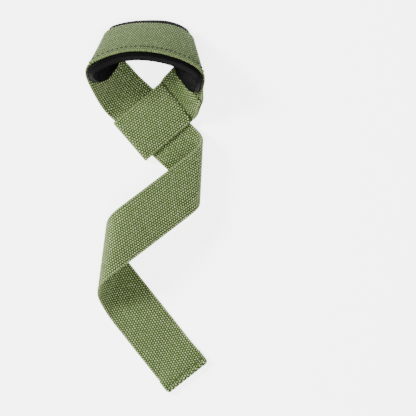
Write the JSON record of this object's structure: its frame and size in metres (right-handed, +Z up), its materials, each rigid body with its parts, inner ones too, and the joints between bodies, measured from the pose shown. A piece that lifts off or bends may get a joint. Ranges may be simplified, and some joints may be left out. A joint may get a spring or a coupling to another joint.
{
  "type": "wrist support strap",
  "caption": "Padded lifting strap of flat webbing: a wrist band drawn through its own sewn eye, with a loose twisted tail and a turned hem.",
  "frame": {"origin": "under the middle of the strap as it lies, on the surface it rests on", "axes": "+Z up from the surface; +Y from the tail's hem towards the wrist band; +X to the right seen from above with the band away from the viewer"},
  "size_m": [0.0918, 0.279, 0.0426],
  "materials": {
    "cotton_webbing": "coarse ribbed weave, matt",
    "neoprene_pad": "matt knitted face over closed-cell foam"
  },
  "bodies": {
    "root": {"webbing_strap": "cotton_webbing", "wrist_pad": "neoprene_pad"}
  },
  "joints": []
}
